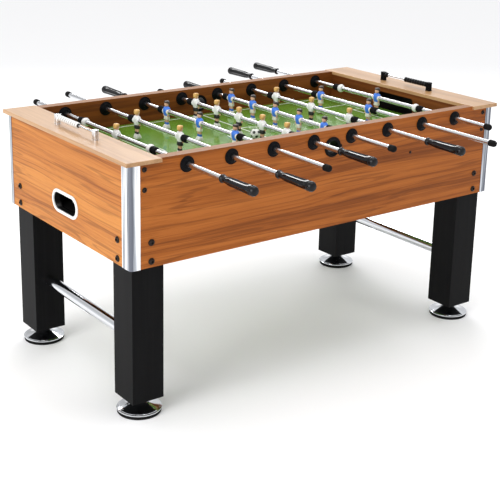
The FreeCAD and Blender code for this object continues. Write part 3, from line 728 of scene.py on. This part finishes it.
def manSource():
    look, bm = manLook, bmesh.new()
    part = {name: i for i, name in enumerate(manParts)}
    loft(bm, [(-62, 9.6, 9.6, 1.4, 0, 5), (-61.4, 10.8, 10.6, 1.5, 0, 5), (-56, 11.2, 11, 1.6, 0, 5),
              (-51, 9.6, 10.4, 0.6, 0, 4), (-47, 7.6, 9.2, -0.4, 0, 3.4), (-45.6, 6.6, 8.2, -0.5, 0, 3)],
         part["Boots"], 28)
    for y in (-4.3, 4.3):  # two legs: sock, bare knee, thigh
        loft(bm, [(-50, 5.0, 4.2, -0.4, y, 2.4), (-43, 5.3, 4.5, -0.6, y, 2.2),
                  (-39.5, 5.6, 4.8, -0.4, y, 2.2), (-38.4, 5.5, 4.7, -0.4, y, 2.2),
                  (-38.0, 4.6, 3.8, -0.4, y, 2.2)], part["Socks"], 18)
        loft(bm, [(-40, 4.4, 3.9, -0.4, y, 2), (-36, 4.7, 4.1, 0.1, y, 2), (-33, 5.2, 4.4, 0.5, y, 2),
                  (-30, 5.0, 4.4, 0.2, y, 2), (-24, 5.8, 4.9, 0, y, 2)], part["Skin"], 18)
    loft(bm, [(-27.4, 6.2, 9.2, 0, 0, 3), (-27.6, 8.3, 11.4, 0, 0, 3), (-26.6, 8.7, 11.7, 0, 0, 3),
              (-21, 8.2, 11.0, 0, 0, 2.8), (-14, 7.7, 10.3, 0, 0, 2.6), (-11, 7.5, 10.0, 0, 0, 2.6)],
         part["Shorts"], 28)
    loft(bm, [(-14.2, 6.4, 9.0, 0, 0, 2.6), (-14.4, 8.1, 10.8, 0, 0, 2.6), (-13.2, 8.5, 11.1, 0, 0, 2.6),
              (-8, 9.6, 11.8, 0.3, 0, 2.7), (-2, 10.8, 12.8, 0.5, 0, 2.8), (4, 11.2, 13.6, 0.5, 0, 2.8),
              (9, 10.6, 14.0, 0.2, 0, 2.7), (13, 8.8, 13.0, -0.2, 0, 2.5), (15.6, 6.4, 9.6, -0.4, 0, 2.2),
              (17.8, 5.2, 5.8, -0.4, 0, 2)], part["Shirt"], 32)
    for side in (-1, 1):  # arms held against the sides: short sleeve, cuff, bare forearm
        loft(bm, [(-3.4, 4.4, 3.2, 2.4, side * 12.9, 2.2), (0, 5.0, 3.8, 2.0, side * 13.0, 2.2),
                  (6, 5.6, 4.2, 0.8, side * 12.7, 2.2), (11, 5.2, 4.1, 0, side * 11.8, 2.2),
                  (14.6, 3.8, 3.2, -0.3, side * 10.6, 2)], part["Shirt"], 18)
        loft(bm, [(-4.4, 4.5, 3.3, 2.6, side * 12.9, 2.2), (-4.8, 4.9, 3.6, 2.6, side * 12.9, 2.2),
                  (-3.2, 5.0, 3.7, 2.4, side * 12.9, 2.2), (-2.8, 4.6, 3.3, 2.4, side * 12.9, 2.2)],
             part["Sleeves"], 18)
        loft(bm, [(-17.6, 2.0, 1.7, 3.4, side * 12.4, 2), (-16.4, 3.1, 2.4, 3.5, side * 12.4, 2),
                  (-13, 3.2, 2.6, 3.2, side * 12.6, 2), (-10, 2.7, 2.2, 3.0, side * 12.8, 2),
                  (-4.2, 3.6, 2.7, 2.6, side * 12.9, 2)], part["Skin"], 16)
    end, r = look["shoulder"], look["barrel"]
    for side in (-1, 1):  # sleeves close on the rod
        rings = [(look["bore"], 8.5), (r - 1.5, 8.5), (r - 0.2, 10.0), (r, 12.0), (r - 0.2, 14.2),
                 (r - 0.9, end - 1.2), (r - 1.6, end), (look["bore"], end)]
        lay(bm, lathe(bm, rings, 28, part["Sleeves"], closed=True), (0, 0, 0), -90 * side)
    loft(bm, [(14, 4.4, 4.8, -0.4, 0, 2), (18, 4.2, 4.5, -0.3, 0, 2), (22, 4.6, 4.6, 0, 0, 2)],
         part["Skin"], 18)  # neck
    z = look["head"]
    loft(bm, [(z - 9.4, 3.6, 3.8, 1.4, 0, 2.2), (z - 8.2, 5.8, 5.6, 1.2, 0, 2.4),
              (z - 5, 7.8, 7.0, 0.7, 0, 2.4), (z - 1, 8.5, 7.8, 0.3, 0, 2.4),
              (z + 3, 8.5, 7.9, 0, 0, 2.4), (z + 6.4, 7.2, 6.6, -0.3, 0, 2.1),
              (z + 8.6, 4.6, 4.4, -0.5, 0, 2)], part["Skin"], 26)  # face
    loft(bm, [(z - 3.2, 0.9, 1.2, 8.4, 0, 2), (z - 2.2, 1.5, 1.4, 8.3, 0, 2), (z + 0.6, 1.0, 0.9, 8.2, 0, 2)],
         part["Skin"], 12)  # nose
    for y in (-7.9, 7.9):  # ears
        loft(bm, [(z - 3.4, 1.0, 0.8, 0.2, y, 2), (z - 1.2, 1.7, 1.2, 0, y, 2),
                  (z + 1.2, 1.5, 1.0, -0.2, y, 2)],
             part["Skin"], 12)
    for y in (-2.9, 2.9):  # eyes
        loft(bm, [(z - 0.2, 0.5, 0.7, 7.9, y, 2), (z + 0.7, 0.7, 1.0, 7.9, y, 2),
                  (z + 1.5, 0.5, 0.7, 7.8, y, 2)],
             part["Eyes"], 10)
    cap = [(z - 4.6, 5.6, 7.2, -3.6), (z - 2.0, 6.8, 8.5, -3.0), (z + 1.6, 7.8, 9.0, -2.2),
           (z + 3.6, 9.2, 9.2, -0.5), (z + 6.6, 9.5, 9.0, -0.1), (z + 9.2, 8.2, 7.8, -0.4),
           (z + look["crown"], 5.0, 4.8, -0.6)]  # hair in locks, thicker behind
    first = len(bm.verts)
    loft(bm, [(*section, 0, 2.4) for section in cap], part["Hair"], 44)
    bm.verts.ensure_lookup_table()
    for vert in bm.verts[first:]:
        angle = math.atan2(vert.co.y, vert.co.x)
        ripple = 1 + look["ripple"] * math.cos(look["locks"] * angle + vert.co.z / mm * 0.5)
        vert.co.x *= ripple
        vert.co.y *= ripple
        vert.co.z = min(vert.co.z, (z + look["crown"]) * mm)
    return asPiece("manSource", bm, [manBlanks[name] for name in manParts], 55)


teams = {
    "white": {"Shirt": "whiteShirt", "Sleeves": "whiteShirt", "Shorts": "blackCloth", "Socks": "blackCloth",
              "Hair": "fairHair", "Skin": "skin", "Boots": "boots", "Eyes": "eyes"},
    "blue": {"Shirt": "blueShirt", "Sleeves": "creamSleeve", "Shorts": "creamCloth", "Socks": "blueCloth",
             "Hair": "darkHair", "Skin": "skin", "Boots": "boots", "Eyes": "eyes"},
}
source = manSource()
slotOf = {entry["node"]: entry["material_slot"] for entry in frame["record"]["subparts"]}
manCount = 0
for number in rodNumbers:
    node = "rod_%d_men" % number
    low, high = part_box("rod_%d_tube" % number)
    axisX, axisZ = (low.x + high.x) / 2, (low.z + high.z) / 2
    team = "white" if slotOf[node] == "white_team" else "blue"
    facing = 0 if team == "white" else 180
    spots = [(Vector((axisX, (a.y + b.y) / 2, axisZ)), (0, 0, facing), 1.0) for a, b in solidsOf(node)]
    dress = {part: finishes[finish] for part, finish in teams[team].items()}
    piece = copied("men_%d" % number, teamCopies, source, spots, **dress)
    settle(piece, "rod_%d" % number, slotOf[node], node)
    manCount += len(spots)
bpy.data.objects.remove(source)
print("men:", manCount)

# handles and end caps
handleLook = {
    "long": 156.0, "collar": 12.6, "neck": 9.6, "belly": 13.6, "end": 15.0, "flutes": 8, "fluteDeep": 2.1,
    "bore": 7.97, "socket": 120.0,
}
capLook = {"long": 26.0, "radius": 10.8, "socket": 20.0}


def handleShape(bm, material):
    look = handleLook
    bore, collar, neck, end, full = (look[key] for key in ("bore", "collar", "neck", "end", "long"))

    def smooth(t):
        t = min(1.0, max(0.0, t))
        return t * t * (3 - 2 * t)

    def body(h):  # waist near the collar, swelling to the end
        swell = (look["belly"] - neck) * smooth((h - 12) / 40)
        return neck + swell + (end - look["belly"]) * smooth((h - 60) / 80)

    outline = [(0, look["socket"]), (bore, look["socket"]), (bore, 0.4), (10.6, 0.0), (collar - 0.5, 0.4),
               (collar, 1.6), (collar, 5.6), (collar - 0.8, 7.0), (10.4, 8.6), (neck + 0.2, 11.0)]
    heights = (14, 18, 22, 26, 30, 35, 41, 48, 56, 65, 75, 86, 98, 110, 121, 129, 134, 137.5)
    outline += [(body(h), h) for h in heights]
    outline += [(end - 1.3, 139.2), (end - 1.3, 141.0), (end - 0.2, 142.6), (end + 0.1, 146),
                (end - 0.9, 150.6), (end - 3.4, 154.2), (7.0, full - 0.6), (3.0, full), (0, full)]

    def fluted(r, h, angle):
        if r < bore + 0.5 or h > look["socket"] + 16.5 or h < 16:
            return r
        depth = look["fluteDeep"] * smooth((h - 18) / 16) * (1 - smooth((h - 122) / 14))
        wave = abs(math.sin(look["flutes"] * angle / 2))
        return r - depth * wave

    return lathe(bm, outline, 72, material, radiusAt=fluted)


def capShape(bm, material):
    look, bore = capLook, handleLook["bore"]
    r, full = look["radius"], look["long"]
    outline = [(0, look["socket"]), (bore, look["socket"]), (bore, 0.2), (r - 1.2, 0), (r - 0.3, 0.8),
               (r, 2.0), (r, 4.4), (r - 1.1, 5.2), (r - 1.1, 6.2), (r, 7.2), (r, 17.5), (r - 0.9, 21.4),
               (r - 3.0, 24.3), (r - 6.0, 25.7), (2.0, full), (0, full)]
    return lathe(bm, outline, 40, material)


for number in rodNumbers:
    node = "rod_%d_grips" % number
    boxes = sorted(solidsOf(node), key=lambda b: b[1].y - b[0].y)
    bm = bmesh.new()
    for (low, high), shape, material in ((boxes[1], handleShape, 0), (boxes[0], capShape, 1)):
        middle = (low + high) / 2
        side = 1 if middle.y > 0 else -1
        inner = low.y if side > 0 else high.y
        lay(bm, shape(bm, material), (middle.x, inner, middle.z), -90 * side)
    piece = asPiece("grips_%d" % number, bm, ["gripBlack", "capRubber"], 32)
    settle(piece, "rod_%d" % number, "black_gloss", node)
print("handles and caps:", len(rodNumbers))

# bumpers and goalkeepers' collars
bumperLook = {"bore": 8.0, "rib": 12.5, "valley": 9.9, "ribs": 3, "washer": 11.2, "rim": 3.0}
collarLook = {"bore": 7.97, "radius": 15.0, "face": 10.5, "bulge": 5.0, "groove": 0.7}


def bumperShape(bm, length):
    look = bumperLook
    bore, washer, valley, rim = (look[key] for key in ("bore", "washer", "valley", "rim"))
    outline = [(bore, 0), (washer - 0.5, 0), (washer, 0.6), (washer, 2.4), (valley, rim)]
    pitch = (length - 2 * rim) / look["ribs"]
    for rib in range(look["ribs"]):
        start = rim + rib * pitch
        for t in (0.12, 0.24, 0.38, 0.5, 0.62, 0.76, 0.88):
            swell = math.sin(math.pi * (t - 0.06) / 0.88) ** 0.45
            outline.append((valley + (look["rib"] - valley) * swell, start + t * pitch))
        outline.append((valley, start + pitch))
    outline += [(washer, length - 2.4), (washer, length - 0.6), (washer - 0.5, length), (bore, length)]
    return lathe(bm, outline, 40, closed=True)


def collarShape(bm, length):
    look, half = collarLook, length / 2
    outline = [(look["bore"], -half), (look["face"], -half)]
    for degrees in range(-80, 81, 16):
        angle = math.radians(degrees)
        r = look["radius"] + look["bulge"] * (math.cos(angle) - 1)
        outline.append((r, half * math.sin(angle) * 0.985))
    outline += [(look["face"], half), (look["bore"], half)]
    middle = len(outline) // 2  # a groove round the widest part
    r = outline[middle][0]
    outline[middle:middle + 1] = [(r, -1.0), (r - look["groove"], -0.5), (r - look["groove"], 0.5), (r, 1.0)]
    return lathe(bm, outline, 48, closed=True)


for number in rodNumbers:
    bm = bmesh.new()
    for low, high in solidsOf("rod_%d_bumpers" % number):
        lay(bm, bumperShape(bm, (high.y - low.y) / mm), farFace(low, high), 90)
    piece = asPiece("bumpers_%d" % number, bm, ["bumperRubber"], 50)
    settle(piece, "rod_%d_stops" % number, "black_rubber", "rod_%d_bumpers" % number)
    if number in goalkeeperRods:
        bm = bmesh.new()
        for low, high in solidsOf("rod_%d_collars" % number):
            lay(bm, collarShape(bm, (high.y - low.y) / mm), (low + high) / 2, 90)
        piece = asPiece("collars_%d" % number, bm, ["whitePlastic"], 40)
        settle(piece, "rod_%d" % number, "white_plastic", "rod_%d_collars" % number)
print("bumpers and collars done")

# score counters: fluted posts, a thin rod and waisted beads
postLook = {"flutes": 3, "fluteDeep": 1.6, "corner": 0.88, "rod": 3.0}
beadLook = {"bore": 3.05, "disc": 9.5, "hub": 5.4, "segments": 36}


def postShape(bm, low, high, material):
    centre, half = (low + high) / 2, (high - low) / 2
    flutes, deep = postLook["flutes"], postLook["fluteDeep"] * mm
    outline, sunk = [], []
    for side in range(4):  # walks round the block, with flutes on each face
        a = half.x if side % 2 == 0 else half.y
        b = half.y if side % 2 == 0 else half.x
        steps = flutes * 8
        for i in range(steps):
            t = postLook["corner"] * (-1 + 2 * i / (steps - 1))
            dip = max(0.0, math.cos((flutes + 1) * math.pi * t)) ** 2 * deep
            point = Vector((a - dip, b * t, 0))
            outline.append(Matrix.Rotation(side * math.pi / 2, 3, "Z") @ point)
            sunk.append(dip > 0.62 * deep)
    levels = [(low.z, 1.0), (low.z + 2.4 * mm, 1.0), (low.z + 2.6 * mm, 0.93), (high.z - 3.2 * mm, 0.93),
              (high.z - 3.0 * mm, 1.0), (high.z - 1.2 * mm, 1.0), (high.z - 0.3 * mm, 0.93), (high.z, 0.8)]
    rings = []
    for z, scale in levels:
        rings.append([bm.verts.new(Vector((centre.x, centre.y, z)) + p * scale) for p in outline])
    skinBetween(bm, list(zip(rings, rings[1:])), len(outline), material)
    groove = {ring[i] for ring in rings[2:4] for i in range(len(outline)) if sunk[i]}  # painted shade: the deep flute faces get the black finish
    for face in {face for vert in groove for face in vert.link_faces}:
        if all(vert in groove for vert in face.verts):
            face.material_index = 2
    for ring in (rings[0], rings[-1]):
        hub = bm.verts.new(sum((v.co for v in ring), Vector()) / len(ring))
        for i in range(len(ring)):
            bm.faces.new((ring[i], ring[(i + 1) % len(ring)], hub)).material_index = material


for end, finish, slot in (("left", "chrome", "chrome_trim"), ("right", "blackPlastic", "black_plastic")):
    bm = bmesh.new()
    boxes = sorted(solidsOf("score_frame_" + end), key=lambda b: b[1].y - b[0].y)
    for low, high in boxes[:2]:
        postShape(bm, low, high, 0)
    low, high = boxes[2]
    length, r = (high.y - low.y) / mm, postLook["rod"]
    lay(bm, lathe(bm, [(0, 0), (r, 0), (r, length), (0, length)], 24, 1), farFace(low, high), 90)
    # the third finish, black, is painted shade in the flutes
    piece = asPiece("score_posts_" + end, bm, [finish, "chrome", "blackPlastic"], 35)
    settle(piece, "table", slot, "score_frame_" + end)


def beadSource(length):
    look, bm = beadLook, bmesh.new()
    r, hub, half = look["disc"], look["hub"], length / 2
    edge = [(look["bore"], half), (hub - 0.4, half), (hub, half - 0.4), (hub, 4.4), (6.6, 4.0),
            (r - 0.9, 3.5), (r - 0.2, 2.6), (r, 1.2)]
    lathe(bm, [(x, -h) for x, h in edge] + edge[::-1], look["segments"], closed=True)
    return asPiece("beadSource", bm, ["whitePlastic"], 45)


for node in ("beads_left", "beads_right_far", "beads_right_near"):
    boxes = solidsOf(node)
    source = beadSource((boxes[0][1].y - boxes[0][0].y) / mm)
    finish = "bead" if node == "beads_left" else "gripBlack"
    spots = [((low + high) / 2, (90, 0, 0), 1.0) for low, high in boxes]
    piece = copied("score_" + node, plainCopies, source, spots, Finish=finishes[finish])
    settle(piece, node, "white_plastic" if node == "beads_left" else "black_gloss", node)
    bpy.data.objects.remove(source)
print("score counters done")

# levelling feet: rubber ring, dished chrome disc, hexagon and thread
footLook = {
    "pad": 68.5, "disc": 70.0, "hexagon": 17.5, "clearance": 52.0,
    "stem": 8.0, "stemLong": 45.0, "pitch": 2.0,
}


def footShape(bm):
    look = footLook
    r, d, leg, core = look["pad"], look["disc"], look["clearance"], look["stem"] - 0.9
    pad = [(0, 0), (r - 6, 0), (r - 5, 0.8), (r - 3.0, 0.8), (r - 1.6, 0), (r - 0.4, 1.2), (r, 2.6),
           (r - 0.7, 3.6), (r, 4.6), (r - 0.7, 5.6), (r, 6.6), (r - 0.7, 7.6), (r, 8.8),
           (r - 0.6, 10.8), (0, 10.8)]
    lathe(bm, pad, 72, 0)
    disc = [(0, 10.9), (d - 1.2, 10.9), (d - 0.2, 11.7), (d, 13.0), (d - 0.5, 14.4), (d - 2.2, 15.2),
            (d - 5.0, 15.4), (d - 6.0, 16.2), (56, 17.4), (48, 19.4), (40, 22.2), (33, 25.6), (27, 29.6),
            (23.5, 33.2), (22.6, 34.6), (20.5, 35.4), (17.5, 35.8), (16.4, 36.4), (16.0, 38.0), (0, 38.0)]
    lathe(bm, disc, 96, 1)

    r = look["hexagon"]
    nut = [(0, 37.9), (15.5, 37.9), (r, 39.2), (r, 46.2), (15.5, 47.4), (0, 47.4)]
    lathe(bm, nut, 72, 1, radiusAt=lambda r, h, a: r * min(1.0, 0.9 * sixSided(a)))
    lathe(bm, [(0, 47.3), (12.2, 47.3), (12.8, 48.2), (12.8, leg - 0.4), (12.2, leg), (0, leg)], 48, 1)
    thread = [(0, leg - 0.1), (core, leg - 0.1)]
    for i in range(int(look["stemLong"] / look["pitch"])):
        h = leg + i * look["pitch"]
        thread += [(core, h + 0.3), (look["stem"], h + 1.0), (core, h + 1.7)]
    thread += [(look["stem"] - 2.0, leg + look["stemLong"]), (0, leg + look["stemLong"])]
    lathe(bm, thread, 24, 1)


for node in ("foot_near_left", "foot_far_left", "foot_near_right", "foot_far_right"):
    low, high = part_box(node)
    bm = bmesh.new()
    footShape(bm)
    bmesh.ops.translate(bm, verts=bm.verts, vec=((low.x + high.x) / 2, (low.y + high.y) / 2, 0))
    piece = asPiece("round_" + node, bm, ["footRubber", "chrome"], 30)
    settle(piece, node, "foot_metal", node)
print("feet done")

# ball: twelve black and twenty white panels with sunk seams
ballLook = {"seam": 0.5, "seamWide": 0.028, "cuts": 5}


def ballShape():
    low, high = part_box("ball")
    centre, radius = (low + high) / 2, (high - low).z / 2
    bm = bmesh.new()
    bmesh.ops.create_icosphere(bm, subdivisions=1, radius=1.0)
    cuts = {"offset": 100 / 3, "offset_type": "PERCENT", "affect": "VERTICES", "segments": 1}
    bmesh.ops.bevel(bm, geom=list(bm.verts), **cuts)
    bmesh.ops.remove_doubles(bm, verts=bm.verts, dist=1e-4)
    for face in bm.faces:
        face.material_index = 1 if len(face.verts) == 5 else 0
    planes = [(f.normal.copy(), f.normal.dot(f.verts[0].co)) for f in bm.faces]
    bmesh.ops.inset_individual(bm, faces=list(bm.faces), thickness=ballLook["seamWide"] * 1.2)
    bmesh.ops.triangulate(bm, faces=[f for f in bm.faces if len(f.verts) > 4])
    bmesh.ops.subdivide_edges(bm, edges=list(bm.edges), cuts=ballLook["cuts"], use_grid_fill=True)
    for vert in bm.verts:
        way = vert.co.normalized()
        hits = sorted(reach / way.dot(normal) for normal, reach in planes if way.dot(normal) > 0.2)
        sunk = 1 - min(1.0, (hits[1] - hits[0]) / ballLook["seamWide"])
        vert.co = centre + way * (radius - ballLook["seam"] * mm * sunk * sunk)
    return asPiece("match_ball", bm, ["ballWhite", "ballBlack"], 60)


settle(ballShape(), "ball", "ball_white", "ball")
print("ball done")

# studio: pale floor, soft lights and the camera
studio = {
    "cameraAt": (-2.2666, -2.9791, 1.6455), "heading": 36.911, "tilt": -16.065, "roll": 1.256, "lens": 79.89,
    "shiftY": -0.15,
    "floor": (0.95, 0.95, 0.95), "floorHalf": 60.0, "haze": (0.95, 0.96, 0.98), "evenness": 0.5,
    "sky": ((0.0, 1.0), (0.1, 0.95), (0.22, 0.5), (0.4, 0.6), (0.7, 1.1), (1.0, 1.2)),
}
floorBoard = Board("paleFloor")
speck = floorBoard.noise(floorBoard.place, 120.0, 3.0)
floorBoard.done(
    Base_Color=floorBoard.mix(studio["floor"], tuple(c * 0.985 for c in studio["floor"]), speck),
    Roughness=0.72 + speck * 0.1,
    Specular_IOR_Level=0.1,
)
bm = bmesh.new()
bmesh.ops.create_grid(bm, x_segments=8, y_segments=8, size=studio["floorHalf"])
floorMesh = bpy.data.meshes.new("studioFloor")
bm.to_mesh(floorMesh)
bm.free()
floorMesh.materials.append(floorBoard.material)
floor = asObject("studioFloor", floorMesh)

sky = Board("studioSky", "worlds")
level = sky.ramp(sky.z, tuple((at, (v, v, v * 1.01)) for at, v in studio["sky"]))
turnedAway = sky.step(sky.maths("SINE", sky.maths("ARCTAN2", sky.y, sky.x) * 3.0), -0.6, 0.6)
sky.done(Color=sky.mix(level, studio["haze"], turnedAway * studio["evenness"]))
bpy.context.scene.world = sky.material

lamps = {  # place, aimed at, width, depth, watts
    "leftSoftbox": ((-5.2, -1.0, 2.6), (0, 0, 0.55), 3.2, 3.2, 150.0),
    "backStrip": ((1.9, 3.0, 2.9), (0, -0.2, 0.75), 3.2, 0.6, 65.0),
    "topBank": ((0.2, -0.3, 4.4), (0, 0, 0.6), 2.6, 2.6, 40.0),
}
for name, (place, target, wide, deep, power) in lamps.items():
    light = bpy.data.lights.new(name, "AREA")
    light.shape, light.size, light.size_y, light.energy = "RECTANGLE", wide, deep, power
    lamp = asObject(name, light)
    lamp.location = place
    lamp.rotation_euler = (Vector(target) - Vector(place)).to_track_quat("-Z", "Y").to_euler()

camera = asObject("studioCamera", bpy.data.cameras.new("studioCamera"))
camera.data.lens, camera.data.sensor_width, camera.data.shift_y = studio["lens"], 36.0, studio["shiftY"]
camera.location = studio["cameraAt"]
turn = Matrix.Rotation(-math.radians(studio["heading"]), 3, "Z")
turn = turn @ Matrix.Rotation(math.radians(90 + studio["tilt"]), 3, "X")
turn = turn @ Matrix.Rotation(math.radians(studio["roll"]), 3, "Z")
camera.rotation_euler = turn.to_euler()
bpy.context.scene.camera = camera
bpy.context.scene.view_settings.view_transform = "Standard"
bpy.context.view_layer.update()

print("scene ready")
